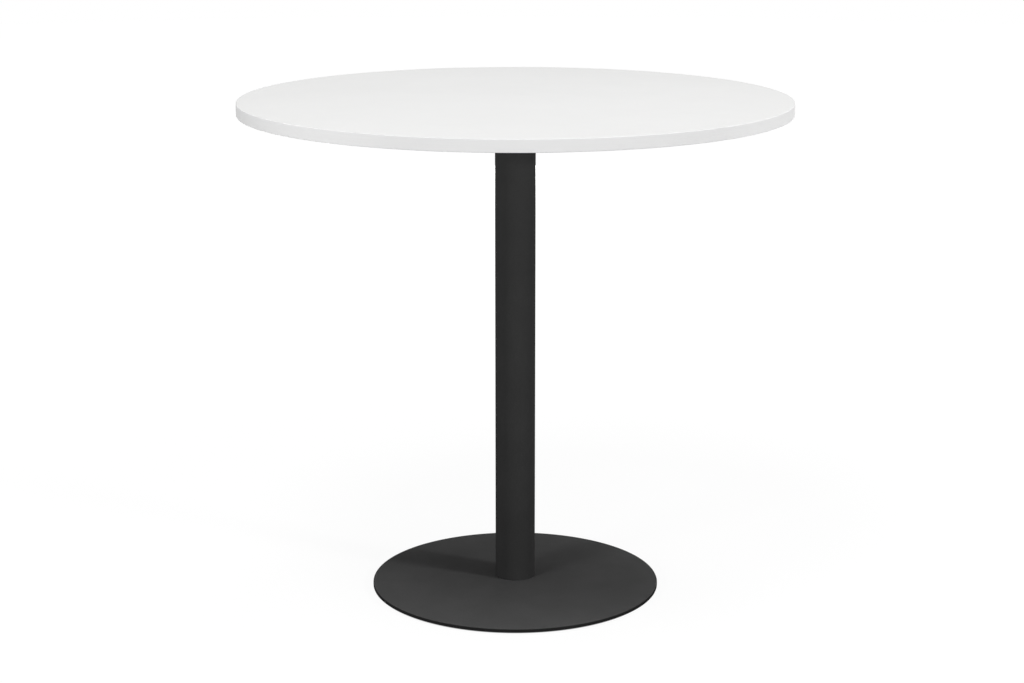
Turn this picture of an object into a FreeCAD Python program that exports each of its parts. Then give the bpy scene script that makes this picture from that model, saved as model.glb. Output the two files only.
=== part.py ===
# Bar table: a round laminate-faced top on one steel column and a weighted disc base.
# Millimetres, +Z up. The origin is on the floor, on the column's axis.
import FreeCAD, Part
import math
import os

Vector = FreeCAD.Vector

# Overall sizes
table_height = 1105.0
top_diameter = 1200.0
base_diameter = 645.0
column_diameter = 88.9

# Table top: a board with a laminate sheet on each face and a band round its edge
board_thickness = 25.0
laminate_thickness = 0.8
band_thickness = 2.0
band_arris_radius = 1.5
band_glue_line = 0.1

# Column
column_wall = 2.0
spigot_clearance = 0.2

# Base cover: a pressed disc with a turned-down rim, rising in a shallow cone to the column
cover_thickness = 1.5
cover_floor_gap = 3.2
cover_rim_height = 7.4
cover_crown_rise = 9.1
cover_land_width = 3.0
cover_bend_outer_radius = 2.5
cover_bend_inner_chamfer = 0.6

# Ballast: a cast disc that fills the cover, with a boss up into the column
ballast_rise_in_rim = 0.4
ballast_side_gap = 1.0
ballast_cover_gap = 0.3
ballast_foot_chamfer = 2.0
ballast_edge_chamfer = 0.8
ballast_boss_height = 16.0
ballast_boss_chamfer = 2.0
ballast_pocket_radius = 22.0
ballast_pocket_depth = 17.6

# Tie rod through the column, with its nuts and washers
rod_diameter = 16.0
rod_hole_clearance = 0.75
rod_chamfer = 1.0
rod_past_nut = 1.0
thread_allowance = 0.05
nut_across_flats = 24.0
nut_height = 13.0
nut_face_share = 0.95
nut_chamfer_angle = 30.0
washer_radius = 15.0
washer_thickness = 3.0
spring_washer_radius = 13.7
spring_washer_thickness = 3.5
spring_washer_slit = 1.2
spring_washer_slit_angle = 20.0

# Spider hub: a shoulder for the column's end, a spigot inside it and a well for the nut
hub_depth = 34.0
hub_top_radius = 54.0
hub_foot_radius = 49.0
hub_rim_height = 5.0
hub_foot_chamfer = 1.5
hub_web_thickness = 8.0
hub_well_radius = 38.0
hub_well_depth = 23.0
hub_well_chamfer = 2.0
spigot_length = 22.0
spigot_wall = 6.0
spigot_chamfer = 1.5

# Spider arms: a tapering flange under the top, with a tapering rib below it
arm_count = 4
arm_reach = 280.0
arm_root_width = 50.0
arm_tip_width = 30.0
arm_tip_round_share = 0.95
arm_flange_thickness = 5.0
arm_bury_in_hub = 8.0
rib_root_width = 10.0
rib_tip_width = 6.0
rib_root_depth = 30.0
rib_tip_depth = 9.0
rib_draft = 1.0
rib_fillet_radius = 3.0
rib_foot_chamfer = 0.8
rib_stop_before_tip = 44.0

# Wood screws that hold the top to the spider
screw_diameter = 5.0
screw_pilot_clearance = 0.05
screw_hole_clearance = 0.6
screw_bite = 18.0
screw_point_length = 5.0
screw_head_diameter = 10.5
screw_head_height = 3.2
screw_head_rim = 1.3
screw_head_crown_share = 0.55
screw_pair_radius = 150.0
screw_pair_offset = 13.5
screw_tip_setback = 16.0

# Levelling glides: a nylon pad, and a threaded stud whose flange turns inside it
glide_count = 4
glide_circle_radius = 255.0
glide_start_angle = 45.0
pad_diameter = 34.0
pad_top_gap = 0.3
pad_floor_thickness = 1.4
pad_foot_chamfer = 0.8
pad_driver_hole_radius = 4.0
pad_lip_thickness = 0.5
pad_lip_overhang = 0.6
stud_diameter = 8.0
stud_chamfer = 0.6
stud_top_gap = 0.5
stud_flange_diameter = 16.0
stud_flange_thickness = 1.2
stud_side_clearance = 0.3
stud_axial_play = 0.1
stud_hex_across_flats = 4.0
stud_hex_depth = 3.0

# One overrun serves every cut that leaves a solid, and one tolerance says two points are the same
cut_overrun = 1.0
same_point = 1e-7

full_turn = 360.0
hexagon_sides = 6

# Places worked out from the sizes above
top_radius = top_diameter / 2
top_thickness = board_thickness + 2 * laminate_thickness
top_underside = table_height - top_thickness
sheet_radius = top_radius - band_thickness - band_glue_line

column_radius = column_diameter / 2
column_bore_radius = column_radius - column_wall
spigot_radius = column_bore_radius - spigot_clearance
column_top = top_underside - hub_depth

cover_radius = base_diameter / 2
cover_rim_top = cover_floor_gap + cover_rim_height
cover_land_top = cover_rim_top + cover_crown_rise
cover_land_radius = column_radius + cover_land_width

ballast_bottom = cover_floor_gap + ballast_rise_in_rim
ballast_radius = cover_radius - cover_thickness - ballast_side_gap
ballast_seat = cover_land_top - cover_thickness
ballast_pocket_top = ballast_bottom + ballast_pocket_depth

rod_radius = rod_diameter / 2
rod_hole_radius = rod_radius + rod_hole_clearance
nut_bore_radius = rod_radius + thread_allowance
hub_well_floor = top_underside - hub_well_depth
head_nut_bottom = hub_well_floor + washer_thickness + spring_washer_thickness
foot_nut_bottom = ballast_pocket_top - washer_thickness - nut_height
rod_top = head_nut_bottom + nut_height + rod_past_nut
rod_bottom = foot_nut_bottom - rod_past_nut

arm_start = hub_top_radius - arm_bury_in_hub
rib_end = arm_reach - rib_stop_before_tip
flange_underside = top_underside - arm_flange_thickness

screw_radius = screw_diameter / 2
stud_radius = stud_diameter / 2
stud_flange_radius = stud_flange_diameter / 2
pad_top = ballast_bottom - pad_top_gap
stud_flange_bottom = pad_floor_thickness + stud_axial_play
stud_flange_top = stud_flange_bottom + stud_flange_thickness


def cover_top_at(radius):
    """Height of the cover's outer face on its cone, at a distance from the axis."""
    cone_run = cover_radius - cover_land_radius
    return cover_rim_top + cover_crown_rise * (cover_radius - radius) / cone_run


def ballast_top_at(radius):
    """Height of the ballast's cone, which follows the inside of the cover."""
    return cover_top_at(radius) - cover_thickness - ballast_cover_gap


def rounded_corner(before, here, after, radius):
    """Start, middle and end of the arc that rounds the corner at here."""
    to_before = (before - here).normalize()
    to_after = (after - here).normalize()
    half_angle = to_before.getAngle(to_after) / 2
    bisector = (to_before + to_after).normalize()
    setback = radius / math.tan(half_angle)
    centre = here + bisector * (radius / math.sin(half_angle))
    return here + to_before * setback, centre - bisector * radius, here + to_after * setback


def rounded_wire(corners, place):
    """Closed outline through (u, v, radius) corners; place turns a flat point into its place."""
    points = [Vector(u, v, 0) for u, v, radius in corners]
    arcs = []
    for index, (u, v, radius) in enumerate(corners):
        here = points[index]
        if radius == 0:
            arcs.append((here, here, here))
        else:
            after = points[(index + 1) % len(points)]
            arcs.append(rounded_corner(points[index - 1], here, after, radius))
    edges = []
    for index, (start, middle, end) in enumerate(arcs):
        next_start = arcs[(index + 1) % len(arcs)][0]
        if (end - start).Length > same_point:
            edges.append(Part.Arc(place(start), place(middle), place(end)).toShape())
        if (next_start - end).Length > same_point:
            edges.append(Part.LineSegment(place(end), place(next_start)).toShape())
    return Part.Wire(edges)


def in_profile(point):
    """A flat point read as a radius and a height."""
    return Vector(point.x, 0, point.y)


def in_plan(height):
    """A place function that lays flat points level, at a height."""
    return lambda point: Vector(point.x, point.y, height)


def revolved(corners):
    """Solid turned about Z from (radius, height, corner radius) corners."""
    face = Part.Face(rounded_wire(corners, in_profile))
    return face.revolve(Vector(0, 0, 0), Vector(0, 0, 1), full_turn)


def ring(inner_radius, outer_radius, bottom, top):
    """Plain ring about Z."""
    return revolved([
        (inner_radius, bottom, 0),
        (outer_radius, bottom, 0),
        (outer_radius, top, 0),
        (inner_radius, top, 0),
    ])


def cylinder(radius, bottom, top):
    """Plain cylinder about Z."""
    return Part.makeCylinder(radius, top - bottom, Vector(0, 0, bottom))


def moved(shape, place):
    """Copy of a shape at a place."""
    copy = shape.copy()
    copy.translate(place)
    return copy


def turned(shape, angle):
    """Copy of a shape turned about the column's axis."""
    copy = shape.copy()
    copy.rotate(Vector(0, 0, 0), Vector(0, 0, 1), angle)
    return copy


def hexagon(across_flats, bottom, top):
    """Upright hexagonal prism about Z."""
    corner_radius = across_flats / 2 / math.cos(math.pi / hexagon_sides)
    corners = []
    for index in range(hexagon_sides + 1):
        angle = 2 * math.pi * index / hexagon_sides
        corners.append(
            Vector(corner_radius * math.cos(angle), corner_radius * math.sin(angle), bottom)
        )
    face = Part.Face(Part.makePolygon(corners))
    return face.extrude(Vector(0, 0, top - bottom))


def screw_places():
    """Plan places of the screws: a pair beside each rib and one near each arm's tip."""
    on_one_arm = [
        Vector(screw_pair_radius, screw_pair_offset, 0),
        Vector(screw_pair_radius, -screw_pair_offset, 0),
        Vector(arm_reach - screw_tip_setback, 0, 0),
    ]
    places = []
    for arm in range(arm_count):
        turn = FreeCAD.Rotation(Vector(0, 0, 1), full_turn * arm / arm_count)
        places.extend(turn.multVec(place) for place in on_one_arm)
    return places


def glide_places():
    """Plan places of the levelling glides."""
    places = []
    for index in range(glide_count):
        angle = math.radians(glide_start_angle + full_turn * index / glide_count)
        places.append(
            Vector(glide_circle_radius * math.cos(angle), glide_circle_radius * math.sin(angle), 0)
        )
    return places


def drilled(shape, places, radius, bottom, top):
    """Shape with an upright round hole at each place."""
    drill = cylinder(radius, bottom, top)
    return shape.cut(Part.makeCompound([moved(drill, place) for place in places]))


# Table top

def make_top_core():
    bottom = top_underside + laminate_thickness
    board = cylinder(sheet_radius, bottom, bottom + board_thickness)
    pilot_radius = screw_radius + screw_pilot_clearance
    pilot_top = top_underside + screw_bite + screw_pilot_clearance
    return drilled(board, screw_places(), pilot_radius, bottom - cut_overrun, pilot_top)


def make_top_laminate():
    return cylinder(sheet_radius, table_height - laminate_thickness, table_height)


def make_balance_laminate():
    top = top_underside + laminate_thickness
    sheet = cylinder(sheet_radius, top_underside, top)
    hole_radius = screw_radius + screw_pilot_clearance
    return drilled(
        sheet, screw_places(), hole_radius, top_underside - cut_overrun, top + cut_overrun
    )


def make_edge_band():
    inner_radius = top_radius - band_thickness
    return revolved([
        (inner_radius, top_underside, 0),
        (top_radius, top_underside, band_arris_radius),
        (top_radius, table_height, band_arris_radius),
        (inner_radius, table_height, 0),
    ])


# Spider

def make_hub():
    web_bottom = hub_well_floor - hub_web_thickness
    spigot_bottom = column_top - spigot_length
    spigot_bore = spigot_radius - spigot_wall
    return revolved([
        (rod_hole_radius, web_bottom, 0),
        (spigot_bore, web_bottom, 0),
        (spigot_bore, spigot_bottom, 0),
        (spigot_radius - spigot_chamfer, spigot_bottom, 0),
        (spigot_radius, spigot_bottom + spigot_chamfer, 0),
        (spigot_radius, column_top, 0),
        (hub_foot_radius - hub_foot_chamfer, column_top, 0),
        (hub_foot_radius, column_top + hub_foot_chamfer, 0),
        (hub_top_radius, top_underside - hub_rim_height, 0),
        (hub_top_radius, top_underside, 0),
        (hub_well_radius, top_underside, 0),
        (hub_well_radius, hub_well_floor + hub_well_chamfer, 0),
        (hub_well_radius - hub_well_chamfer, hub_well_floor, 0),
        (rod_hole_radius, hub_well_floor, 0),
    ])


def make_arm_flange():
    """Flat flange that tapers to a round tip, along +X."""
    tip_round = arm_tip_width / 2 * arm_tip_round_share
    outline = rounded_wire([
        (arm_start, -arm_root_width / 2, 0),
        (arm_reach, -arm_tip_width / 2, tip_round),
        (arm_reach, arm_tip_width / 2, tip_round),
        (arm_start, arm_root_width / 2, 0),
    ], in_plan(flange_underside))
    return Part.Face(outline).extrude(Vector(0, 0, arm_flange_thickness))


def rib_section(along, width, depth):
    """Section across a rib, filleted into the flange and bevelled at its foot."""
    half_top = width / 2
    half_foot = half_top - rib_draft
    shoulder = half_top + rib_fillet_radius + rib_foot_chamfer
    root = -arm_flange_thickness / 2
    under = -arm_flange_thickness
    return rounded_wire([
        (-shoulder, root, 0),
        (-shoulder, under, 0),
        (-half_top, under, rib_fillet_radius),
        (-half_foot, rib_foot_chamfer - depth, 0),
        (rib_foot_chamfer - half_foot, -depth, 0),
        (half_foot - rib_foot_chamfer, -depth, 0),
        (half_foot, rib_foot_chamfer - depth, 0),
        (half_top, under, rib_fillet_radius),
        (shoulder, under, 0),
        (shoulder, root, 0),
    ], lambda point: Vector(along, point.x, top_underside + point.y))


def make_arm():
    """One arm along +X: the flange and the rib under it."""
    rib = Part.makeLoft([
        rib_section(arm_start, rib_root_width, rib_root_depth),
        rib_section(rib_end, rib_tip_width, rib_tip_depth),
    ], True, True)
    return make_arm_flange().fuse(rib)


def make_top_spider():
    arm = make_arm()
    arms = [turned(arm, full_turn * index / arm_count) for index in range(arm_count)]
    casting = make_hub().fuse(arms).removeSplitter()
    hole_radius = screw_radius + screw_hole_clearance
    return drilled(
        casting,
        screw_places(),
        hole_radius,
        flange_underside - cut_overrun,
        top_underside + cut_overrun,
    )


def make_spider_screws():
    """Pan-head wood screws, driven up through the spider into the board."""
    head_radius = screw_head_diameter / 2
    head_bottom = flange_underside - screw_head_height
    point = top_underside + screw_bite
    screw = revolved([
        (0, head_bottom, 0),
        (head_radius * screw_head_crown_share, head_bottom, 0),
        (head_radius, flange_underside - screw_head_rim, 0),
        (head_radius, flange_underside, 0),
        (screw_radius, flange_underside, 0),
        (screw_radius, point - screw_point_length, 0),
        (0, point, 0),
    ])
    return Part.makeCompound([moved(screw, place) for place in screw_places()])


# Column and tie rod

def make_column_tube():
    return ring(column_bore_radius, column_radius, cover_land_top, column_top)


def make_tie_rod():
    return revolved([
        (0, rod_bottom, 0),
        (rod_radius - rod_chamfer, rod_bottom, 0),
        (rod_radius, rod_bottom + rod_chamfer, 0),
        (rod_radius, rod_top - rod_chamfer, 0),
        (rod_radius - rod_chamfer, rod_top, 0),
        (0, rod_top, 0),
    ])


def make_nut(bottom):
    """Hexagon nut whose corners are turned off at both faces."""
    top = bottom + nut_height
    corner_radius = nut_across_flats / 2 / math.cos(math.pi / hexagon_sides)
    face_radius = nut_across_flats / 2 * nut_face_share
    bevel = (corner_radius - face_radius) * math.tan(math.radians(nut_chamfer_angle))
    bevelled = revolved([
        (0, bottom, 0),
        (face_radius, bottom, 0),
        (corner_radius, bottom + bevel, 0),
        (corner_radius, top - bevel, 0),
        (face_radius, top, 0),
        (0, top, 0),
    ])
    blank = hexagon(nut_across_flats, bottom, top).common(bevelled)
    return blank.cut(cylinder(nut_bore_radius, bottom - cut_overrun, top + cut_overrun))


def make_tie_rod_nuts():
    """One nut at each end of the rod."""
    return Part.makeCompound([make_nut(head_nut_bottom), make_nut(foot_nut_bottom)])


def make_tie_rod_washers():
    """One flat washer under each nut."""
    washers = []
    for bottom in (hub_well_floor, ballast_pocket_top - washer_thickness):
        washers.append(ring(rod_hole_radius, washer_radius, bottom, bottom + washer_thickness))
    return Part.makeCompound(washers)


def make_spring_washer():
    """Split ring, pressed flat, with a slanting slit."""
    bottom = hub_well_floor + washer_thickness
    body = ring(rod_hole_radius, spring_washer_radius, bottom, bottom + spring_washer_thickness)
    slit_length = spring_washer_radius + cut_overrun
    slit_height = spring_washer_thickness + 2 * spring_washer_radius
    slit = Part.makeBox(
        slit_length,
        spring_washer_slit,
        slit_height,
        Vector(0, -spring_washer_slit / 2, -slit_height / 2),
    )
    slit.rotate(Vector(0, 0, 0), Vector(1, 0, 0), spring_washer_slit_angle)
    slit.translate(Vector(0, 0, bottom + spring_washer_thickness / 2))
    return body.cut(slit)


# Base

def make_base_cover():
    inner_radius = cover_radius - cover_thickness
    chamfer_start = inner_radius - cover_bend_inner_chamfer
    return revolved([
        (column_bore_radius, cover_land_top, 0),
        (column_bore_radius, cover_land_top - cover_thickness, 0),
        (cover_land_radius, cover_land_top - cover_thickness, 0),
        (chamfer_start, cover_top_at(chamfer_start) - cover_thickness, 0),
        (inner_radius, cover_rim_top - cover_thickness - cover_bend_inner_chamfer, 0),
        (inner_radius, cover_floor_gap, 0),
        (cover_radius, cover_floor_gap, 0),
        (cover_radius, cover_rim_top, cover_bend_outer_radius),
        (cover_land_radius, cover_land_top, 0),
    ])


def make_base_ballast():
    boss_top = ballast_seat + ballast_boss_height
    ballast_shoulder = ballast_radius - ballast_edge_chamfer
    casting = revolved([
        (rod_hole_radius, ballast_pocket_top, 0),
        (ballast_pocket_radius, ballast_pocket_top, 0),
        (ballast_pocket_radius, ballast_bottom, 0),
        (ballast_radius - ballast_foot_chamfer, ballast_bottom, 0),
        (ballast_radius, ballast_bottom + ballast_foot_chamfer, 0),
        (ballast_radius, ballast_top_at(ballast_radius) - ballast_edge_chamfer, 0),
        (ballast_shoulder, ballast_top_at(ballast_shoulder), 0),
        (column_radius, ballast_top_at(column_radius), 0),
        (column_radius, ballast_seat, 0),
        (spigot_radius, ballast_seat, 0),
        (spigot_radius, boss_top - ballast_boss_chamfer, 0),
        (spigot_radius - ballast_boss_chamfer, boss_top, 0),
        (rod_hole_radius, boss_top, 0),
    ])
    thread_radius = stud_radius + thread_allowance
    return drilled(
        casting,
        glide_places(),
        thread_radius,
        ballast_bottom - cut_overrun,
        cover_land_top,
    )


# Levelling glides

def make_glide_pad(place):
    pad_radius = pad_diameter / 2
    socket_radius = stud_flange_radius + stud_side_clearance
    lip_radius = stud_flange_radius - pad_lip_overhang
    pad = revolved([
        (pad_driver_hole_radius, 0, 0),
        (pad_radius - pad_foot_chamfer, 0, 0),
        (pad_radius, pad_foot_chamfer, 0),
        (pad_radius, pad_top, 0),
        (lip_radius, pad_top, 0),
        (lip_radius, pad_top - pad_lip_thickness, 0),
        (socket_radius, pad_top - pad_lip_thickness, 0),
        (socket_radius, pad_floor_thickness, 0),
        (pad_driver_hole_radius, pad_floor_thickness, 0),
    ])
    return moved(pad, place)


def make_glide_stud(place):
    """Threaded stud with a thin flange and a hexagon socket in its lower end."""
    stud_top = ballast_top_at(glide_circle_radius + stud_radius) - stud_top_gap
    stud = revolved([
        (0, stud_flange_bottom, 0),
        (stud_flange_radius, stud_flange_bottom, 0),
        (stud_flange_radius, stud_flange_top, 0),
        (stud_radius, stud_flange_top, 0),
        (stud_radius, stud_top - stud_chamfer, 0),
        (stud_radius - stud_chamfer, stud_top, 0),
        (0, stud_top, 0),
    ])
    socket = hexagon(
        stud_hex_across_flats,
        stud_flange_bottom - cut_overrun,
        stud_flange_bottom + stud_hex_depth,
    )
    return moved(stud.cut(socket), place)


def make_pieces():
    """Every piece of the table, by name."""
    pieces = {
        "top_core": make_top_core(),
        "top_laminate": make_top_laminate(),
        "balance_laminate": make_balance_laminate(),
        "edge_band": make_edge_band(),
        "top_spider": make_top_spider(),
        "spider_screws": make_spider_screws(),
        "column_tube": make_column_tube(),
        "tie_rod": make_tie_rod(),
        "tie_rod_nuts": make_tie_rod_nuts(),
        "tie_rod_washers": make_tie_rod_washers(),
        "spring_washer": make_spring_washer(),
        "base_cover": make_base_cover(),
        "base_ballast": make_base_ballast(),
    }
    for number, place in enumerate(glide_places(), start=1):
        pieces[f"glide_pad_{number}"] = make_glide_pad(place)
        pieces[f"glide_stud_{number}"] = make_glide_stud(place)
    return pieces


os.makedirs("parts", exist_ok=True)
for name, shape in make_pieces().items():
    shape.exportStep(f"parts/{name}.step")
    print(name, "solids", len(shape.Solids), "volume", round(shape.Volume), "valid", shape.isValid())
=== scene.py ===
import math

import bmesh
import bpy
from bpy.props import FloatProperty, FloatVectorProperty, PointerProperty
from bpy.types import Operator, Panel, PropertyGroup
from mathutils import Matrix, Vector


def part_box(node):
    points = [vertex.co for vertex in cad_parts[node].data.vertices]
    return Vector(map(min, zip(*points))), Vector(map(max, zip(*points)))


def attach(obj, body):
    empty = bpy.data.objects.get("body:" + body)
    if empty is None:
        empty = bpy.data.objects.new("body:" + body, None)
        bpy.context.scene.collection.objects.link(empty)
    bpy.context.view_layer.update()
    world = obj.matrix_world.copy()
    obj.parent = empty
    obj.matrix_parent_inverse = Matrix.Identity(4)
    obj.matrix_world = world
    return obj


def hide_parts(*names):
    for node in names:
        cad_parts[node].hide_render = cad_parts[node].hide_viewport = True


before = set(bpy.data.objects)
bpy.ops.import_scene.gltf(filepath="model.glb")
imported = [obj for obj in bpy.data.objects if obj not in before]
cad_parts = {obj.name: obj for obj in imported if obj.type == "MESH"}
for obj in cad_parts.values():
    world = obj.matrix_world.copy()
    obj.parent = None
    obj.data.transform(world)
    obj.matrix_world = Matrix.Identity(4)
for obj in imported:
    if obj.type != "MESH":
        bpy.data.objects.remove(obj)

bl_info = {
    "name": "Round Bar Table",
    "version": (1, 0, 0),
    "blender": (4, 5, 0),
    "location": "3D View > Sidebar > Bar Table",
    "description": "Dresses a round pedestal bar table and sets up its studio",
    "category": "Add Mesh",
}

MM = 0.001
SAME_POINT = 1e-7  # points of one mesh that are nearer than this are one point
WELD_REACH = 1e-6  # the same where rims meet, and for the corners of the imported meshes
SHARP_EDGE = math.radians(38)
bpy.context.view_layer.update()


def radius_of(node):
    """Outer radius of a piece that is turned about the column's axis."""
    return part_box(node)[1].x


def bottom_of(node):
    """Lowest point of a piece."""
    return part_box(node)[0].z


def top_of(node):
    """Highest point of a piece."""
    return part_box(node)[1].z


# Settings that a user would change

def length(name, description, default):
    """A length setting in metres."""
    return FloatProperty(
        name=name, description=description, default=default, min=0, unit="LENGTH"
    )


def share(name, description, default):
    """A setting from nothing to all."""
    return FloatProperty(
        name=name, description=description, default=default, min=0, max=1, subtype="FACTOR"
    )


def power(name, description, default):
    """A lamp's power in watts."""
    return FloatProperty(
        name=name, description=description, default=default, min=0, unit="POWER"
    )


def colour(name, description, default):
    """A colour setting."""
    return FloatVectorProperty(
        name=name, description=description, default=default, min=0, max=1, size=3,
        subtype="COLOR",
    )


class TableTopSettings(PropertyGroup):
    """Sizes and colours of the laminated top and its edge band."""

    sheet_colour: colour("Laminate", "Colour of the laminate sheets", (0.78, 0.78, 0.775))
    band_colour: colour("Edge band", "Colour of the band round the rim", (0.765, 0.765, 0.765))
    board_colour: colour("Board", "Colour of the particleboard", (0.42, 0.28, 0.15))
    band_thickness: length("Band thickness", "Thickness of the edge band", 2 * MM)
    arris_radius: length("Arris radius", "Rounding of the band's two arrises", 1.5 * MM)
    joint_gap: length("Band joint", "Gap where the band's two ends meet", 0.15 * MM)
    joint_angle: FloatProperty(
        name="Joint angle", description="Where round the rim the band's ends meet",
        default=math.radians(97), subtype="ANGLE",
    )
    sheet_arris: length("Sheet arris", "Break on the laminate's edge", 0.12 * MM)


class PedestalSettings(PropertyGroup):
    """Sizes and colours of the column and the base cover."""

    base_colour: colour("Base coat", "Colour of the cover's coat", (0.085, 0.085, 0.085))
    # Painted shade: the column has the cover's coat, painted darker for the lesser light on its
    # upright faces.
    column_shaded_colour: colour("Column coat", "Column's coat darkened as painted shade", (0.037, 0.037, 0.037))
    # Painted shade: the rim is darker than the cover's coat, for the shade on its upright face
    # near the floor.
    rim_shade_colour: colour("Rim painted shade", "Colour painted on the cover's rim as shade", (0.018, 0.018, 0.018))
    column_wall: length("Column wall", "Wall of the column", 2 * MM)
    edge_break: length("Edge break", "Rounding of the tube's and the rim's cut edges", 0.3 * MM)
    cover_thickness: length("Cover thickness", "Sheet thickness of the base cover", 1.5 * MM)
    rim_height: length("Rim height", "Height of the cover's rim", 7.4 * MM)
    bend_radius: length("Bend radius", "Outer radius of the bend at the rim", 2.5 * MM)
    land_width: length("Land width", "Flat land round the column's foot", 3 * MM)


class HardwareSettings(PropertyGroup):
    """Sizes and colours of what the top and the base hide."""

    casting_colour: colour("Castings", "Colour of spider and ballast", (0.022, 0.022, 0.023))
    zinc_colour: colour("Zinc plate", "Colour of the plated hardware", (0.62, 0.63, 0.64))
    nylon_colour: colour("Nylon", "Colour of the glide pads", (0.018, 0.018, 0.019))
    casting_round: length("Casting rounds", "Rounding of the castings' edges", 0.7 * MM)
    screw_head_radius: length("Screw head radius", "Radius of a wood screw's head", 5.25 * MM)
    screw_head_height: length("Screw head height", "Height of a wood screw's head", 3.2 * MM)
    screw_radius: length("Screw radius", "Radius of a wood screw's shank", 2.5 * MM)
    recess_reach: length("Recess reach", "Half the span of the screw's cross recess", 3.2 * MM)
    recess_depth: length("Recess depth", "Depth of the screw's cross recess", 2.2 * MM)
    rod_chamfer: length("Rod chamfer", "Chamfer at the tie rod's ends", 1 * MM)
    rod_pitch: length("Rod pitch", "Pitch of the tie rod's thread", 2 * MM)
    rod_thread: length("Rod thread", "Length of the thread at each end of the tie rod", 40 * MM)
    stud_radius: length("Stud radius", "Radius of a glide's threaded stud", 4 * MM)
    stud_chamfer: length("Stud chamfer", "Chamfer at a stud's upper end", 0.6 * MM)
    stud_pitch: length("Stud pitch", "Pitch of a stud's thread", 1.25 * MM)
    flange_thickness: length("Flange thickness", "Thickness of a stud's flange", 1.2 * MM)
    flange_break: length("Flange break", "Rounding of the flange's edge", 0.2 * MM)
    socket_width: length("Socket width", "Width of a stud's hexagon socket", 4 * MM)
    socket_depth: length("Socket depth", "Depth of a stud's hexagon socket", 3 * MM)


class StudioSettings(PropertyGroup):
    """The plain soft light on the table and the white of its floor."""

    key_power: power("Key light", "The low light at the front right", 88)
    fill_power: power("Fill light", "The low light at the front left", 79)
    front_power: power("Front light", "The high light in front", 134)
    right_power: power("Right light", "The high light at the right", 26)
    rear_power: power("Rear light", "The high light behind the table", 62)
    back_power: power("Back light", "The low light behind the table", 130)
    ambient: share("Ambient", "Strength of the world's light on the object", 0.06)
    floor_glow: share("Floor glow", "Share of the floor's white that no shadow dims", 0.93)


# Meshes

# A metric thread: the widths of its crest and of one flank, and its depth, in pitches.
THREAD_CREST = 1 / 8
THREAD_FLANK = 5 / 16
THREAD_DEPTH = 0.61
THREAD_SEGMENTS = 24


def rounded_outline(corners, steps=6):
    """Points (radius, height) through (radius, height, rounding) corners."""
    points = [Vector(corner[:2]) for corner in corners]
    outline = []
    for index, here in enumerate(points):
        rounding = corners[index][2]
        if rounding == 0:
            outline.append(here)
            continue
        to_before = (points[index - 1] - here).normalized()
        to_after = (points[(index + 1) % len(points)] - here).normalized()
        half_angle = to_before.angle(to_after) / 2
        centre = here + (to_before + to_after).normalized() * (rounding / math.sin(half_angle))
        start = here + to_before * (rounding / math.tan(half_angle)) - centre
        sweep = start.angle_signed(here + to_after * (rounding / math.tan(half_angle)) - centre)
        for step in range(steps + 1):
            outline.append(centre + Matrix.Rotation(-sweep * step / steps, 2) @ start)
    return outline


def turned_mesh(outline, segments, closed=True, gap=0.0, gap_angle=0.0):
    """Mesh turned about Z from an outline; a gap in radians leaves it open at gap_angle."""
    mesh = bmesh.new()
    whole = gap == 0
    columns = segments if whole else segments + 1
    rings = []
    for column in range(columns):
        angle = gap_angle + gap / 2 + (2 * math.pi - gap) * column / segments
        around = Vector((math.cos(angle), math.sin(angle), 0))
        rings.append([
            mesh.verts.new(around * radius + Vector((0, 0, height))) for radius, height in outline
        ])
    steps = len(outline) if closed else len(outline) - 1
    for column in range(segments):
        here, after = rings[column], rings[(column + 1) % columns]
        for step in range(steps):
            following = (step + 1) % len(outline)
            mesh.faces.new((here[step], after[step], after[following], here[following]))
    if not whole:
        mesh.faces.new(rings[0])
        mesh.faces.new(reversed(rings[-1]))
    bmesh.ops.remove_doubles(mesh, verts=mesh.verts, dist=SAME_POINT)
    bmesh.ops.recalc_face_normals(mesh, faces=mesh.faces)
    return mesh


def thread_mesh(radius, low, high, pitch):
    """Open tube with a right-hand thread, which runs out over a pitch at both ends."""
    # Share of the pitch, and how far down the groove: 0 on the crest, 1 at the bottom.
    corners = (
        (0, 0),
        (THREAD_CREST, 0),
        (THREAD_CREST + THREAD_FLANK, 1),
        (1 - THREAD_FLANK, 1),
    )
    depth = pitch * THREAD_DEPTH
    turns = math.ceil((high - low) / pitch) + 2  # one more at each end, pressed flat there
    rows = len(corners) * turns
    mesh = bmesh.new()
    grid = []
    for column in range(THREAD_SEGMENTS):
        angle = 2 * math.pi * column / THREAD_SEGMENTS
        line = []
        for row in range(rows):
            turn, corner = divmod(row, len(corners))
            part_of_pitch, groove = corners[corner]
            height = low + pitch * (turn - 1 + part_of_pitch + column / THREAD_SEGMENTS)
            height = min(max(height, low), high)
            run_out = min(1, (height - low) / pitch, (high - height) / pitch)
            reach = radius - depth * groove * run_out
            point = (reach * math.cos(angle), reach * math.sin(angle), height)
            line.append(mesh.verts.new(point))
        grid.append(line)
    for column, here in enumerate(grid):
        last = column == THREAD_SEGMENTS - 1
        after = grid[0][len(corners):] if last else grid[column + 1]
        for row in range(min(rows, len(after)) - 1):
            mesh.faces.new((here[row], after[row], after[row + 1], here[row + 1]))
    bmesh.ops.remove_doubles(mesh, verts=mesh.verts, dist=SAME_POINT)
    return mesh


def welded(*parts):
    """One closed mesh from several that share their rims."""
    whole = bmesh.new()
    for part in parts:
        data = bpy.data.meshes.new("part")
        part.to_mesh(data)
        part.free()
        whole.from_mesh(data)
        bpy.data.meshes.remove(data)
    bmesh.ops.remove_doubles(whole, verts=whole.verts, dist=WELD_REACH)
    bmesh.ops.recalc_face_normals(whole, faces=whole.faces)
    return whole


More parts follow.
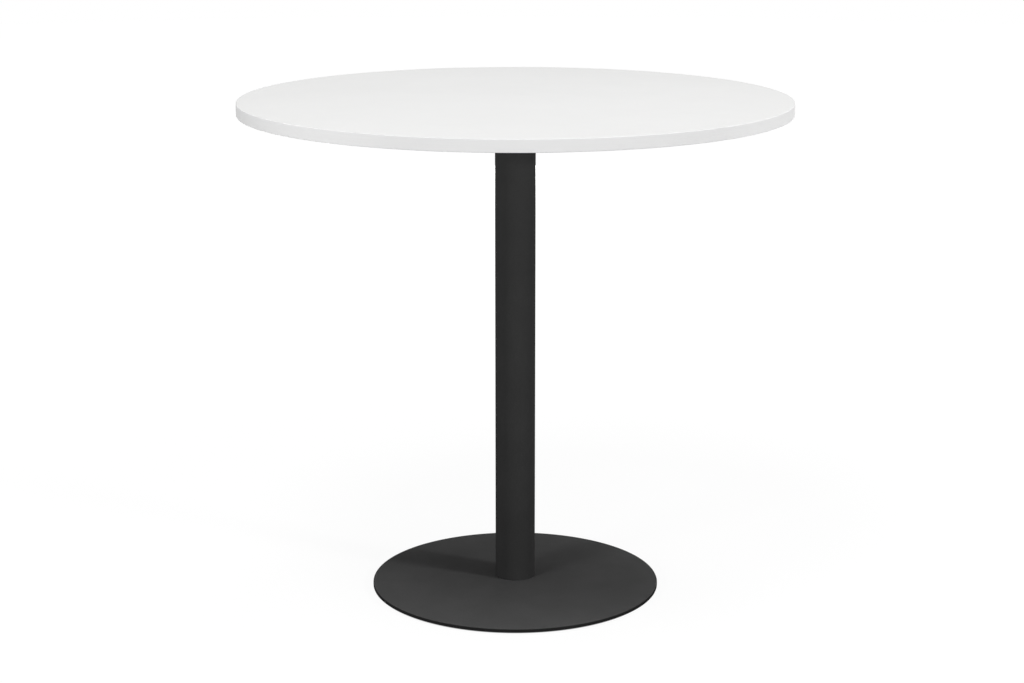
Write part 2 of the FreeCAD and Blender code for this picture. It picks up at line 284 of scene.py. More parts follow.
def make_object(name, mesh):
    """Object that holds a bmesh, shaded smooth with its hard edges kept."""
    data = bpy.data.meshes.new(name)
    mesh.to_mesh(data)
    mesh.free()
    data.shade_smooth()
    data.set_sharp_from_angle(angle=SHARP_EDGE)
    piece = bpy.data.objects.new(name, data)
    bpy.context.scene.collection.objects.link(piece)
    weighted = piece.modifiers.new("Weighted normals", "WEIGHTED_NORMAL")
    weighted.keep_sharp = True
    return piece


def place_piece(piece, finish, body, slot, *nodes):
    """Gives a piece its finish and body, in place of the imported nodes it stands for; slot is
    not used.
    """
    piece.data.materials.clear()
    piece.data.materials.append(finish)
    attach(piece, body)
    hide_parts(*nodes)


def dress_node(node, finish):
    """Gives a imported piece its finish."""
    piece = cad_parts[node]
    if not piece.material_slots:
        piece.data.materials.append(finish)
    for slot in piece.material_slots:
        slot.material = finish


def packed_mesh(node):
    """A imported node's mesh, copied, with its faces joined at their corners."""
    mesh = bmesh.new()
    mesh.from_mesh(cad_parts[node].data)
    bmesh.ops.remove_doubles(mesh, verts=mesh.verts, dist=WELD_REACH)
    return mesh


def solids_of(node):
    """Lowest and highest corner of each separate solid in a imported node."""
    mesh = packed_mesh(node)
    unseen = set(mesh.verts)
    boxes = []
    while unseen:
        reached = [unseen.pop()]
        points = []
        while reached:
            vert = reached.pop()
            points.append(vert.co.copy())
            for edge in vert.link_edges:
                other = edge.other_vert(vert)
                if other in unseen:
                    unseen.discard(other)
                    reached.append(other)
        low = Vector(min(point[axis] for point in points) for axis in range(3))
        high = Vector(max(point[axis] for point in points) for axis in range(3))
        boxes.append((low, high))
    mesh.free()
    return sorted(boxes, key=lambda box: tuple(box[0]))


# Materials

# The colour sockets of a Mix node, which shares their names with its other kinds of sockets.
MIX_FIRST, MIX_SECOND, MIX_RESULT = 6, 7, 2


def add_node(tree, kind, **settings):
    """Adds a node of a kind to a tree, with its settings."""
    made = tree.nodes.new(kind)
    for setting, value in settings.items():
        setattr(made, setting, value)
    return made


class Finish:
    """A material being put together, with short calls for the nodes behind its shader."""

    def __init__(self, name, **values):
        self.material = bpy.data.materials.new(name)
        self.material.use_nodes = True
        self.tree = self.material.node_tree
        self.tree.nodes.clear()
        self.shader = self.node("ShaderNodeBsdfPrincipled")
        for socket, value in values.items():
            self.shader.inputs[socket.replace("_", " ")].default_value = value
        output = self.node("ShaderNodeOutputMaterial")
        self.join(self.shader.outputs["BSDF"], output.inputs["Surface"])
        self.place = self.node("ShaderNodeTexCoord").outputs["Object"]

    def node(self, kind, **settings):
        """Adds a node of a kind to the material, with its settings."""
        return add_node(self.tree, kind, **settings)

    def join(self, source, target):
        """Links a socket, or sets a plain value."""
        if isinstance(source, bpy.types.NodeSocket):
            self.tree.links.new(source, target)
        else:
            target.default_value = source

    def stretched(self, scale):
        """The object's own coordinates, scaled along each axis."""
        mapping = self.node("ShaderNodeMapping")
        self.join(self.place, mapping.inputs["Vector"])
        mapping.inputs["Scale"].default_value = scale
        return mapping.outputs["Vector"]

    def coordinates(self):
        """The object's own X, Y and Z, one by one."""
        split = self.node("ShaderNodeSeparateXYZ")
        self.join(self.place, split.inputs[0])
        return split.outputs

    def work_out(self, operation, first, second):
        """One step of arithmetic on two values."""
        made = self.node("ShaderNodeMath", operation=operation)
        self.join(first, made.inputs[0])
        self.join(second, made.inputs[1])
        return made.outputs[0]

    def noise(self, scale, detail=2.0, roughness=0.5, place=None):
        """Cloudy pattern from 0 to 1; scale is in patches to the metre."""
        made = self.node("ShaderNodeTexNoise")
        self.join(place or self.place, made.inputs["Vector"])
        made.inputs["Scale"].default_value = scale
        made.inputs["Detail"].default_value = detail
        made.inputs["Roughness"].default_value = roughness
        return made.outputs["Fac"]

    def cells(self, scale, place=None):
        """Distance to the nearest of scattered points, scale of them to the metre."""
        made = self.node("ShaderNodeTexVoronoi")
        self.join(place or self.place, made.inputs["Vector"])
        made.inputs["Scale"].default_value = scale
        return made.outputs["Distance"]

    def spread(self, value, low, high, from_low=0.3, from_high=0.7):
        """A pattern's middle range mapped to low and high."""
        made = self.node("ShaderNodeMapRange")
        self.join(value, made.inputs["Value"])
        for socket, number in zip(made.inputs[1:5], (from_low, from_high, low, high)):
            socket.default_value = number
        return made.outputs[0]

    def mixed(self, share_of_second, first, second):
        """Two colours mixed by a pattern."""
        made = self.node("ShaderNodeMix", data_type="RGBA")
        self.join(share_of_second, made.inputs["Factor"])
        self.join(first, made.inputs[MIX_FIRST])
        self.join(second, made.inputs[MIX_SECOND])
        return made.outputs[MIX_RESULT]

    def tinted(self, colour_value, pattern, darkest, lightest):
        """One colour whose lightness follows a pattern."""
        dark = [channel * darkest for channel in colour_value] + [1]
        light = [min(1, channel * lightest) for channel in colour_value] + [1]
        return self.mixed(self.spread(pattern, 0, 1), dark, light)

    def paint(self, colours):
        """Gives the surface its colour."""
        self.join(colours, self.shader.inputs["Base Color"])

    def roughen(self, pattern, smoothest, roughest):
        """Lets the roughness follow a pattern."""
        self.join(self.spread(pattern, smoothest, roughest), self.shader.inputs["Roughness"])

    def bump(self, height, distance, after=None):
        """Raises the surface by distance where height is 1; after is an earlier bump."""
        made = self.node("ShaderNodeBump")
        self.join(height, made.inputs["Height"])
        made.inputs["Distance"].default_value = distance
        made.inputs["Strength"].default_value = 1.0
        if after:
            self.join(after, made.inputs["Normal"])
        self.join(made.outputs[0], self.shader.inputs["Normal"])
        return made.outputs[0]


def finish_named(name, maker, *details):
    """The material of that name, made on its first use."""
    return bpy.data.materials.get(name) or maker(name, *details)


def settings_of(group):
    """One of the scene's setting groups."""
    return getattr(bpy.context.scene, group)


def white_laminate(name):
    """Hard white sheet: a fine pearl texture, faint rubbing and a soft gloss."""
    look = Finish(name, IOR=1.5, Specular_IOR_Level=0.35)
    cloud = look.noise(2.2, detail=4)
    white = settings_of("table_top").sheet_colour
    look.paint(look.tinted(white, cloud, darkest=0.985, lightest=1.01))
    rubbing = look.noise(14, detail=5, roughness=0.65)
    look.roughen(rubbing, smoothest=0.44, roughest=0.53)
    pearl = look.bump(look.noise(950, detail=2), 0.012 * MM)
    look.bump(look.noise(210, detail=1), 0.02 * MM, after=pearl)
    return look.material


LINES_TO_THE_RADIAN = 3.0
LINES_TO_THE_METRE = 900.0


def white_edging(name):
    """Plastic edge band: a scraped satin face with faint lines along its length."""
    look = Finish(name, IOR=1.49, Specular_IOR_Level=0.3)
    x, y, height = look.coordinates()
    angle = look.work_out("ARCTAN2", y, x)
    along = look.node("ShaderNodeCombineXYZ")
    look.join(look.work_out("MULTIPLY", angle, LINES_TO_THE_RADIAN), along.inputs["X"])
    look.join(look.work_out("MULTIPLY", height, LINES_TO_THE_METRE), along.inputs["Y"])
    lines = look.noise(1.0, detail=3, place=along.outputs[0])
    white = settings_of("table_top").band_colour
    look.paint(look.tinted(white, lines, darkest=0.985, lightest=1.01))
    look.roughen(look.noise(35, detail=3), smoothest=0.46, roughest=0.56)
    scraped = look.bump(lines, 0.01 * MM)
    look.bump(look.noise(700), 0.012 * MM, after=scraped)
    return look.material


def particleboard(name):
    """Pressed wood chips, pale and dark."""
    look = Finish(name, Roughness=0.85, Specular_IOR_Level=0.2)
    chips = look.cells(320, place=look.stretched((1, 0.45, 1.6)))
    tone = look.work_out("ADD", look.work_out("MULTIPLY", chips, 0.6), look.noise(90, detail=3))
    wood = settings_of("table_top").board_colour
    look.paint(look.tinted(wood, tone, darkest=0.6, lightest=1.5))
    look.bump(chips, 0.15 * MM)
    return look.material


def powder_coat(name, tone, rim_shade_tone=None, rim_low=0.0, rim_high=0.0):
    """Charcoal powder coat: a fine even grain with next to no sheen, and painted shade on a rim.
    """
    look = Finish(name, IOR=1.5, Specular_IOR_Level=0.01)
    flecks = look.noise(620, detail=3, roughness=0.6)
    patches = look.work_out("MULTIPLY", look.noise(9, detail=4), 0.45)
    cloud = look.work_out("ADD", patches, look.work_out("MULTIPLY", flecks, 0.55))
    shades = {"darkest": 0.86, "lightest": 1.14}
    face = look.tinted(tone, cloud, **shades)
    if rim_shade_tone:
        # Painted shade: below the rim's top the coat fades to the darker rim tone.
        height = look.coordinates()["Z"]
        above = look.spread(height, 0, 1, from_low=rim_low, from_high=rim_high)
        face = look.mixed(above, look.tinted(rim_shade_tone, cloud, **shades), face)
    look.paint(face)
    look.roughen(flecks, smoothest=0.8, roughest=0.92)
    grain = look.bump(look.noise(1500, detail=2), 0.05 * MM)
    look.bump(flecks, 0.12 * MM, after=grain)
    return look.material


def cast_iron(name):
    """Sand casting under thin black lacquer, with its pits and soft lumps."""
    look = Finish(name, IOR=1.5, Specular_IOR_Level=0.3)
    lumps = look.noise(120, detail=5, roughness=0.6)
    lacquer = settings_of("hardware").casting_colour
    look.paint(look.tinted(lacquer, lumps, darkest=0.75, lightest=1.35))
    look.roughen(look.noise(260, detail=4), smoothest=0.48, roughest=0.72)
    sand = look.bump(look.noise(900, detail=4, roughness=0.7), 0.12 * MM)
    pits = look.spread(look.cells(170), 0, 1, from_low=0.05, from_high=0.3)
    worn = look.bump(pits, 0.08 * MM, after=sand)
    look.bump(lumps, 0.25 * MM, after=worn)
    return look.material


WARM_TINT = (1.04, 1.0, 0.9)
COOL_TINT = (0.93, 0.98, 1.05)


def zinc_steel(name):
    """Bright zinc plate, faintly clouded warm and cool, with fine turning marks."""
    look = Finish(name, Metallic=1.0)
    cloud = look.noise(420, detail=3)
    plate = settings_of("hardware").zinc_colour
    warm = [channel * tint for channel, tint in zip(plate, WARM_TINT)] + [1]
    cool = [channel * tint for channel, tint in zip(plate, COOL_TINT)] + [1]
    look.paint(look.mixed(look.spread(cloud, 0, 1), warm, cool))
    look.roughen(look.noise(800, detail=3), smoothest=0.28, roughest=0.42)
    look.bump(look.noise(60, detail=2, place=look.stretched((20, 20, 400))), 0.01 * MM)
    return look.material


def black_nylon(name):
    """Moulded black nylon with a fine spark texture, unevenly rubbed."""
    look = Finish(name, IOR=1.53, Specular_IOR_Level=0.35)
    black = settings_of("hardware").nylon_colour
    look.paint(look.tinted(black, look.noise(300), darkest=0.85, lightest=1.2))
    look.roughen(look.noise(500, detail=4), smoothest=0.5, roughest=0.66)
    look.bump(look.noise(2600, detail=1), 0.02 * MM)
    return look.material


# Table top

TOP_SEGMENTS = 288
# Rings of points that keep a flat face evenly shaded, in shares of its radius.
UPPER_FACE_RINGS = (0, 0.25, 0.5, 0.75, 0.9, 0.985)
LOWER_FACE_RINGS = (0.75, 0.4, 0)


class BARTABLE_OT_top_sheets(Operator):
    """Dress the board and the lower laminate, and lay the upper sheet"""

    bl_idname = "bartable.top_sheets"
    bl_label = "Board and laminate"

    def execute(self, context):
        settings = context.scene.table_top
        laminate = finish_named("white laminate", white_laminate)
        dress_node("top_core", finish_named("particleboard", particleboard))
        dress_node("balance_laminate", laminate)
        radius = radius_of("top_laminate")
        low, high = bottom_of("top_laminate"), top_of("top_laminate")
        arris = settings.sheet_arris
        outline = [
            *((radius * part, high) for part in UPPER_FACE_RINGS),
            (radius - arris, high),
            (radius, high - arris),
            (radius, low),
            *((radius * part, low) for part in LOWER_FACE_RINGS),
        ]
        sheet = make_object("top_sheet", turned_mesh(outline, TOP_SEGMENTS, closed=False))
        place_piece(sheet, laminate, "table", "white_laminate", "top_laminate")
        return {"FINISHED"}


class BARTABLE_OT_edge_band(Operator):
    """Bend the edge band round the rim, with its joint at the back"""

    bl_idname = "bartable.edge_band"
    bl_label = "Edge band"

    def execute(self, context):
        settings = context.scene.table_top
        outer = radius_of("edge_band")
        inner = outer - settings.band_thickness
        low, high = bottom_of("edge_band"), top_of("edge_band")
        outline = rounded_outline([
            (inner, low, 0),
            (outer, low, settings.arris_radius),
            (outer, high, settings.arris_radius),
            (inner, high, 0),
        ])
        gap = settings.joint_gap / outer
        mesh = turned_mesh(outline, TOP_SEGMENTS, gap=gap, gap_angle=settings.joint_angle)
        band = make_object("rim_band", mesh)
        finish = finish_named("white edging", white_edging)
        place_piece(band, finish, "table", "white_edging", "edge_band")
        return {"FINISHED"}


# Fixing under the top

FLAT_ANGLE = math.radians(1)  # faces of a casting that turn by less lie in one flat
CAST_EDGE = math.radians(40)  # edges of a casting that turn by more are rounded
HEAD_SEGMENTS = 40
# A pan head's dome: share of the head's radius, and height above the head's lowest point.
HEAD_DOME = (
    (0.3, 0.02 * MM), (0.55, 0.16 * MM), (0.76, 0.6 * MM), (0.92, 1.3 * MM), (0.985, 2.0 * MM),
)
HEAD_BACK_DROP = 0.4 * MM  # the head's edge towards its seat is broken by this height
HEAD_BACK_STEP = 0.15 * MM  # and by this width
# The two bars of the cross recess, in reaches: at their deep end, and outside its mouth.
RECESS_LENGTHS = (0.9, 2.1)
RECESS_WIDTHS = (0.22, 0.42)
SCREW_TURN = 2.4  # radians from one screw's recess to the next, so that no two line up


def soften_casting(name, node):
    """A packed casting as one welded mesh with its edges rounded."""
    mesh = packed_mesh(node)
    bmesh.ops.dissolve_limit(mesh, angle_limit=FLAT_ANGLE, verts=mesh.verts, edges=mesh.edges)
    piece = make_object(name, mesh)
    rounding = piece.modifiers.new("Cast rounds", "BEVEL")
    rounding.width = settings_of("hardware").casting_round
    rounding.segments = 2
    rounding.limit_method = "ANGLE"
    rounding.angle_limit = CAST_EDGE
    rounding.harden_normals = False
    piece.modifiers.move(len(piece.modifiers) - 1, 0)
    return piece


class BARTABLE_OT_top_spider(Operator):
    """Dress the cast spider under the top"""

    bl_idname = "bartable.top_spider"
    bl_label = "Spider"

    def execute(self, context):
        spider = soften_casting("cast_spider", "top_spider")
        finish = finish_named("cast iron", cast_iron)
        place_piece(spider, finish, "table", "cast_iron", "top_spider")
        return {"FINISHED"}


def cross_recess(reach, depth):
    """Tapered cross that cuts a screw's recess, from below the head up to the recess's depth."""
    mesh = bmesh.new()
    for turn in (0, math.pi / 2):
        bar = bmesh.ops.create_cube(mesh, size=1)["verts"]
        for vert in bar:
            end = 0 if vert.co.z > 0 else 1
            vert.co.x *= reach * RECESS_LENGTHS[end]
            vert.co.y *= reach * RECESS_WIDTHS[end]
            vert.co.z = (depth, -depth / 2)[end]
        bmesh.ops.rotate(mesh, verts=bar, matrix=Matrix.Rotation(turn, 3, "Z"))
    return mesh


def cut_away(piece, cutter):
    """Cuts a shape out of a piece and keeps the result as its mesh."""
    weighted = piece.modifiers["Weighted normals"]
    weighted.show_viewport = False
    cutter.modifiers.clear()
    carve = piece.modifiers.new("Carve", "BOOLEAN")
    carve.object = cutter
    carve.operation = "DIFFERENCE"
    carve.solver = "EXACT"
    carve.use_self = True
    carved = bpy.data.meshes.new_from_object(
        piece.evaluated_get(bpy.context.evaluated_depsgraph_get())
    )
    piece.modifiers.remove(carve)
    carved.set_sharp_from_angle(angle=SHARP_EDGE)
    piece.data = carved
    weighted.show_viewport = True
    bpy.data.objects.remove(cutter)


class BARTABLE_OT_wood_screws(Operator):
    """Drive the pan-head screws up through the spider's arms"""

    bl_idname = "bartable.wood_screws"
    bl_label = "Wood screws"

    def execute(self, context):
        settings = context.scene.hardware
        head, shank = settings.screw_head_radius, settings.screw_radius
        seat = settings.screw_head_height
        boxes = solids_of("spider_screws")
        low, high = boxes[0]
        long = high.z - low.z
        point = 2 * shank  # as long as the shank is thick
        outline = [
            (0, 0),
            *((head * part, height) for part, height in HEAD_DOME),
            (head, seat - HEAD_BACK_DROP),
            (head - HEAD_BACK_STEP, seat),
            (shank, seat),
            (shank, long - point),
            (0, long),
        ]
        recess = cross_recess(settings.recess_reach, settings.recess_depth)
        cutter = make_object("recess_cutter", recess)
        model = make_object("screw_model", turned_mesh(outline, HEAD_SEGMENTS, closed=False))
        cut_away(model, cutter)
        joined = bmesh.new()
        for number, (low, high) in enumerate(boxes):
            centre = (low + high) / 2
            place = Matrix.Translation((centre.x, centre.y, low.z))
            copy = model.data.copy()
            copy.transform(place @ Matrix.Rotation(number * SCREW_TURN, 4, "Z"))
            joined.from_mesh(copy)
            bpy.data.meshes.remove(copy)
        bpy.data.objects.remove(model)
        screws = make_object("wood_screws", joined)
        finish = finish_named("zinc steel", zinc_steel)
        place_piece(screws, finish, "table", "zinc_steel", "spider_screws")
        return {"FINISHED"}


# Column

COLUMN_SEGMENTS = 128


class BARTABLE_OT_column(Operator):
    """Stand the powder-coated column on its base"""

    bl_idname = "bartable.column"
    bl_label = "Column"

    def execute(self, context):
        settings = context.scene.pedestal
        outer = radius_of("column_tube")
        inner = outer - settings.column_wall
        low, high = bottom_of("column_tube"), top_of("column_tube")
        rounding = settings.edge_break
        corners = (
            (inner, low, 0),
            (outer, low, rounding),
            (outer, high, rounding),
            (inner, high, 0),
        )
        outline = rounded_outline(corners, steps=3)
        column = make_object("column", turned_mesh(outline, COLUMN_SEGMENTS))
        # Painted shade: the column gets a darker copy of the cover's coat.
        finish = finish_named("column coat", powder_coat, settings.column_shaded_colour)
        place_piece(column, finish, "table", "powder_coat", "column_tube")
        return {"FINISHED"}


class BARTABLE_OT_tie_rod(Operator):
    """Thread the tie rod's two ends, and dress its nuts and washers"""

    bl_idname = "bartable.tie_rod"
    bl_label = "Tie rod"

    def execute(self, context):
        settings = context.scene.hardware
        finish = finish_named("zinc steel", zinc_steel)
        for node in ("tie_rod_nuts", "tie_rod_washers", "spring_washer"):
            dress_node(node, finish)
        radius, chamfer = radius_of("tie_rod"), settings.rod_chamfer
        low, high = bottom_of("tie_rod"), top_of("tie_rod")
        start, end = low + chamfer, high - chamfer
        shank_low, shank_high = start + settings.rod_thread, end - settings.rod_thread
        foot = ((0, low), (radius - chamfer, low), (radius, start))
        shank = ((radius, shank_low), (radius, shank_high))
        head = ((radius, end), (radius - chamfer, high), (0, high))
        rod = make_object("threaded_rod", welded(
            turned_mesh(foot, THREAD_SEGMENTS, closed=False),
            thread_mesh(radius, start, shank_low, settings.rod_pitch),
            turned_mesh(shank, THREAD_SEGMENTS, closed=False),
            thread_mesh(radius, shank_high, end, settings.rod_pitch),
            turned_mesh(head, THREAD_SEGMENTS, closed=False),
        ))
        place_piece(rod, finish, "table", "zinc_steel", "tie_rod")
        return {"FINISHED"}


# Base

COVER_SEGMENTS = 256
CONE_RINGS = (0.06, 0.3, 0.6, 0.9)  # shares of the way from the rim to the column's foot
RIM_SHADE_BLEND = 0.4  # height over which the rim's painted shade fades into the cover's coat, in bend radii
GLIDES = (1, 2, 3, 4)


class BARTABLE_OT_base_cover(Operator):
    """Press the base cover: a shallow cone with its rim turned down"""

    bl_idname = "bartable.base_cover"
    bl_label = "Base cover"

    def execute(self, context):
        settings = context.scene.pedestal
        outer, low = radius_of("base_cover"), bottom_of("base_cover")
        crown = bottom_of("column_tube")
        bore = radius_of("column_tube") - settings.column_wall
        thickness = settings.cover_thickness
        rim_top = low + settings.rim_height
        land = radius_of("column_tube") + settings.land_width
        fall = (crown - rim_top) / (outer - land)

        def cone(radius):
            """Height of the cover's upper face on its cone."""
            return rim_top + fall * (outer - radius)

        inner = outer - thickness
        rings = [outer + (land - outer) * part for part in CONE_RINGS]
        corners = [
            (bore, crown, 0),
            (bore, crown - thickness, 0),
            (land, crown - thickness, 0),
            (inner, cone(inner) - thickness, settings.bend_radius - thickness),
            (inner, low, settings.edge_break),
            (outer, low, settings.edge_break),
            (outer, rim_top, settings.bend_radius),
            *((radius, cone(radius), 0) for radius in rings),
            (land, crown, 0),
        ]
        outline = rounded_outline(corners, steps=8)
        cover = make_object("cover", turned_mesh(outline, COVER_SEGMENTS))
        # The cover's coat is painted darker on the rim, as shade.
        rim_low = rim_top - RIM_SHADE_BLEND * settings.bend_radius
        finish = finish_named(
            "base coat", powder_coat, settings.base_colour, settings.rim_shade_colour, rim_low, rim_top
        )
        place_piece(cover, finish, "table", "powder_coat", "base_cover")
        return {"FINISHED"}


class BARTABLE_OT_base_ballast(Operator):
    """Dress the cast ballast under the cover"""

    bl_idname = "bartable.base_ballast"
    bl_label = "Ballast"

    def execute(self, context):
        ballast = soften_casting("cast_ballast", "base_ballast")
        finish = finish_named("cast iron", cast_iron)
        place_piece(ballast, finish, "table", "cast_iron", "base_ballast")
        return {"FINISHED"}


def threaded_stud(name, node, settings):
    """A glide's stud in place: its flange, its thread and the socket in its lower end."""
    low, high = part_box(node)
    middle = (low + high) / 2
    radius, chamfer, edge = settings.stud_radius, settings.stud_chamfer, settings.flange_break
    flange = (high.x - low.x) / 2
    shoulder, end = low.z + settings.flange_thickness, high.z - chamfer
    foot = (
        (0, low.z, 0),
        (flange, low.z, edge),
        (flange, shoulder, edge),
        (radius, shoulder, 0),
    )
    head = ((radius, end), (radius - chamfer, high.z), (0, high.z))
    stud = make_object(name, welded(
        turned_mesh(rounded_outline(foot, steps=2), THREAD_SEGMENTS, closed=False),
        thread_mesh(radius, shoulder, end, settings.stud_pitch),
        turned_mesh(head, THREAD_SEGMENTS, closed=False),
    ))
    socket = bmesh.new()
    sides = 6
    corner = settings.socket_width / 2 / math.cos(math.pi / sides)
    bmesh.ops.create_cone(
        socket, cap_ends=True, segments=sides, radius1=corner, radius2=corner,
        depth=2 * settings.socket_depth, matrix=Matrix.Translation((0, 0, low.z)),
    )
    cut_away(stud, make_object("socket_cutter", socket))
    stud.data.transform(Matrix.Translation((middle.x, middle.y, 0)))
    return stud


class BARTABLE_OT_glides(Operator):
    """Dress the four levelling glides, each a pad and a threaded stud"""

    bl_idname = "bartable.glides"
    bl_label = "Glides"

    def execute(self, context):
        nylon = finish_named("black nylon", black_nylon)
        zinc = finish_named("zinc steel", zinc_steel)
        for number in GLIDES:
            dress_node(f"glide_pad_{number}", nylon)
            node = f"glide_stud_{number}"
            stud = threaded_stud(f"threaded_stud_{number}", node, context.scene.hardware)
            place_piece(stud, zinc, f"stud_{number}", "zinc_steel", node)
        return {"FINISHED"}


# Studio

FLOOR_RADIUS = 14
FLOOR_SEGMENTS = 96
GLOW_GROWS = (1.2, 3.5)  # distances from the axis between which the floor turns wholly white
GLOW_SETS_IN = (8 * MM, 3 * MM)  # painted shadow: how far inside the cover's edge the floor's glow starts and is whole
FLOOR_GAIN = 1.25  # makes up for lamp light on the floor that is less than 1
FLOOR_BOUNCE = 0.3  # share of the light on the floor that it sends up to the table
CAMERA_PLACE = (-0.0073, -4.6932, 1.7073)
CAMERA_TILT = 13.682  # degrees below level
CAMERA_LENS = 76.52
CAMERA_SENSOR = 36


def area_light(name, side, rise, distance, size, energy, aim_height, mirrored=True):
    """
    Soft square lamp that looks at a point on the column's axis, at aim_height.
    Its side is in degrees from +X, its rise in degrees above level.
    """
    data = bpy.data.lights.new(name, "AREA")
    data.size = size
    data.energy = energy
    lamp = bpy.data.objects.new(name, data)
    turned = Matrix.Rotation(math.radians(side), 3, "Z")
    raised = Matrix.Rotation(math.radians(-rise), 3, "Y")
    away = turned @ raised @ Vector((1, 0, 0))
    lamp.location = away * distance + Vector((0, 0, aim_height))
    lamp.rotation_mode = "QUATERNION"
    lamp.rotation_quaternion = (-away).to_track_quat("-Z", "Y")
    lamp.visible_camera = False
    lamp.visible_glossy = mirrored
    bpy.context.scene.collection.objects.link(lamp)


def seen_rays(tree):
    """1 for what the camera, a reflection or clear material sees, 0 for light on surfaces."""
    path = add_node(tree, "ShaderNodeLightPath")
    total = path.outputs["Is Camera Ray"]
    for kind in ("Is Glossy Ray", "Is Transmission Ray"):
        larger = add_node(tree, "ShaderNodeMath", operation="MAXIMUM")
        tree.links.new(total, larger.inputs[0])
        tree.links.new(path.outputs[kind], larger.inputs[1])
        total = larger.outputs[0]
    return total


def white_world(ambient):
    """White all round for what is seen, a gentler light on the object."""
    world = bpy.data.worlds.new("studio")
    bpy.context.scene.world = world
    world.use_nodes = True
    tree = world.node_tree
    tree.nodes.clear()
    strength = add_node(tree, "ShaderNodeMapRange")
    tree.links.new(seen_rays(tree), strength.inputs["Value"])
    strength.inputs["To Min"].default_value = ambient
    strength.inputs["To Max"].default_value = 1.0
    background = add_node(tree, "ShaderNodeBackground")
    background.inputs["Color"].default_value = (1, 1, 1, 1)
    tree.links.new(strength.outputs[0], background.inputs["Strength"])
    output = add_node(tree, "ShaderNodeOutputWorld")
    tree.links.new(background.outputs[0], output.inputs["Surface"])


def white_floor(name, glow, cover_radius):
    """Floor that looks white, keeps the object's shadow and has a painted shadow under the base.
    """
    material = bpy.data.materials.new(name)
    material.use_nodes = True
    tree = material.node_tree
    tree.nodes.clear()
    place = add_node(tree, "ShaderNodeTexCoord").outputs["Object"]
    away = add_node(tree, "ShaderNodeVectorMath", operation="LENGTH")
    tree.links.new(place, away.inputs[0])
    ramp = add_node(tree, "ShaderNodeMapRange", interpolation_type="SMOOTHSTEP")
    tree.links.new(away.outputs["Value"], ramp.inputs["Value"])
    for socket, number in zip(ramp.inputs[1:5], (*GLOW_GROWS, glow, 1.0)):
        socket.default_value = number
    # Painted shadow: the floor's glow is taken away under the base, so the gap under the rim
    # looks dark.
    clear = add_node(tree, "ShaderNodeMapRange")
    tree.links.new(away.outputs["Value"], clear.inputs["Value"])
    for socket, inside in zip(clear.inputs[1:3], GLOW_SETS_IN):
        socket.default_value = cover_radius - inside
    lit = add_node(tree, "ShaderNodeMath", operation="MULTIPLY")
    tree.links.new(ramp.outputs[0], lit.inputs[0])
    tree.links.new(clear.outputs[0], lit.inputs[1])
    shine = add_node(tree, "ShaderNodeEmission")
    tree.links.new(lit.outputs[0], shine.inputs["Strength"])
    shade = add_node(tree, "ShaderNodeBsdfDiffuse")
    shaded = FLOOR_GAIN * (1 - glow)
    shade.inputs["Color"].default_value = (shaded, shaded, shaded, 1)
    both = add_node(tree, "ShaderNodeAddShader")
    tree.links.new(shine.outputs[0], both.inputs[0])
    tree.links.new(shade.outputs[0], both.inputs[1])
    plain = add_node(tree, "ShaderNodeBsdfDiffuse")
    plain.inputs["Color"].default_value = (FLOOR_BOUNCE, FLOOR_BOUNCE, FLOOR_BOUNCE, 1)
    chosen = add_node(tree, "ShaderNodeMixShader")
    tree.links.new(seen_rays(tree), chosen.inputs[0])
    tree.links.new(plain.outputs[0], chosen.inputs[1])
    tree.links.new(both.outputs[0], chosen.inputs[2])
    output = add_node(tree, "ShaderNodeOutputMaterial")
    tree.links.new(chosen.outputs[0], output.inputs["Surface"])
    return material


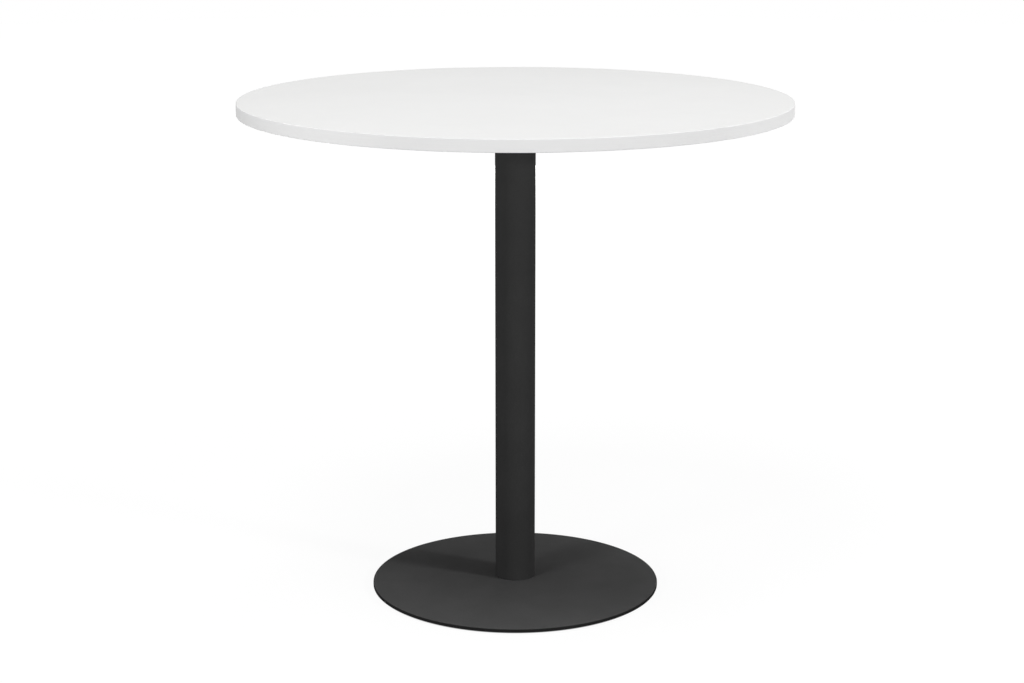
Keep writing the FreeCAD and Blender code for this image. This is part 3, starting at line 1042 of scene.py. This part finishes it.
class BARTABLE_OT_studio(Operator):
    """Lay the floor, hang the soft lights and set the camera"""

    bl_idname = "bartable.studio"
    bl_label = "Studio"

    def execute(self, context):
        settings = context.scene.studio
        scene = context.scene
        scene.view_settings.view_transform = "Standard"
        white_world(settings.ambient)
        mesh = bmesh.new()
        bmesh.ops.create_circle(
            mesh, cap_ends=True, segments=FLOOR_SEGMENTS, radius=FLOOR_RADIUS
        )
        floor = make_object("floor", mesh)
        floor.modifiers.clear()
        white = white_floor("studio floor", settings.floor_glow, radius_of("base_cover"))
        floor.data.materials.append(white)
        area_light(
            "key light", side=-31, rise=15, distance=4, size=0.5,
            energy=settings.key_power, aim_height=0.5, mirrored=False,
        )
        area_light(
            "fill light", side=-132, rise=5, distance=4, size=1.0,
            energy=settings.fill_power, aim_height=0.8, mirrored=False,
        )
        area_light(
            "front light", side=-115, rise=66, distance=5, size=1.6,
            energy=settings.front_power, aim_height=0.8,
        )
        area_light(
            "right light", side=-30, rise=66, distance=5, size=1.6,
            energy=settings.right_power, aim_height=0.8,
        )
        area_light(
            "rear light", side=70, rise=66, distance=5, size=1.6,
            energy=settings.rear_power, aim_height=0.8, mirrored=False,
        )
        area_light(
            "back light", side=90, rise=3, distance=6, size=1.0,
            energy=settings.back_power, aim_height=0.1, mirrored=False,
        )
        data = bpy.data.cameras.new("camera")
        data.sensor_width = CAMERA_SENSOR
        data.lens = CAMERA_LENS
        camera = bpy.data.objects.new("camera", data)
        camera.location = CAMERA_PLACE
        camera.rotation_euler = (math.radians(90 - CAMERA_TILT), 0, 0)
        scene.collection.objects.link(camera)
        scene.camera = camera
        return {"FINISHED"}


class BARTABLE_PT_sidebar(Panel):
    """The table's settings and the buttons that build it"""

    bl_idname = "BARTABLE_PT_sidebar"
    bl_label = "Bar Table"
    bl_space_type = "VIEW_3D"
    bl_region_type = "UI"
    bl_category = "Bar Table"

    def draw(self, context):
        layout = self.layout
        for operator in OPERATORS:
            layout.operator(operator.bl_idname)
        for group in GROUPS:
            box = layout.box()
            settings = getattr(context.scene, group)
            for name in settings.__annotations__:
                box.prop(settings, name)


OPERATORS = (
    BARTABLE_OT_top_sheets,
    BARTABLE_OT_edge_band,
    BARTABLE_OT_top_spider,
    BARTABLE_OT_wood_screws,
    BARTABLE_OT_column,
    BARTABLE_OT_tie_rod,
    BARTABLE_OT_base_cover,
    BARTABLE_OT_base_ballast,
    BARTABLE_OT_glides,
    BARTABLE_OT_studio,
)
GROUPS = {
    "table_top": TableTopSettings,
    "pedestal": PedestalSettings,
    "hardware": HardwareSettings,
    "studio": StudioSettings,
}


def register():
    """Adds the settings, the operators and the panel to Blender."""
    for kind in (*GROUPS.values(), *OPERATORS, BARTABLE_PT_sidebar):
        bpy.utils.register_class(kind)
    for name, kind in GROUPS.items():
        setattr(bpy.types.Scene, name, PointerProperty(type=kind))


def unregister():
    """Takes them away again."""
    for name in GROUPS:
        delattr(bpy.types.Scene, name)
    for kind in (BARTABLE_PT_sidebar, *reversed(OPERATORS), *reversed(GROUPS.values())):
        bpy.utils.unregister_class(kind)


def main():
    """Builds the table and its studio."""
    register()
    bpy.ops.bartable.top_sheets()
    bpy.ops.bartable.edge_band()
    bpy.ops.bartable.top_spider()
    bpy.ops.bartable.wood_screws()
    bpy.ops.bartable.column()
    bpy.ops.bartable.tie_rod()
    bpy.ops.bartable.base_cover()
    bpy.ops.bartable.base_ballast()
    bpy.ops.bartable.glides()
    bpy.ops.bartable.studio()
    bpy.context.view_layer.update()


if __name__ == "__main__":
    main()
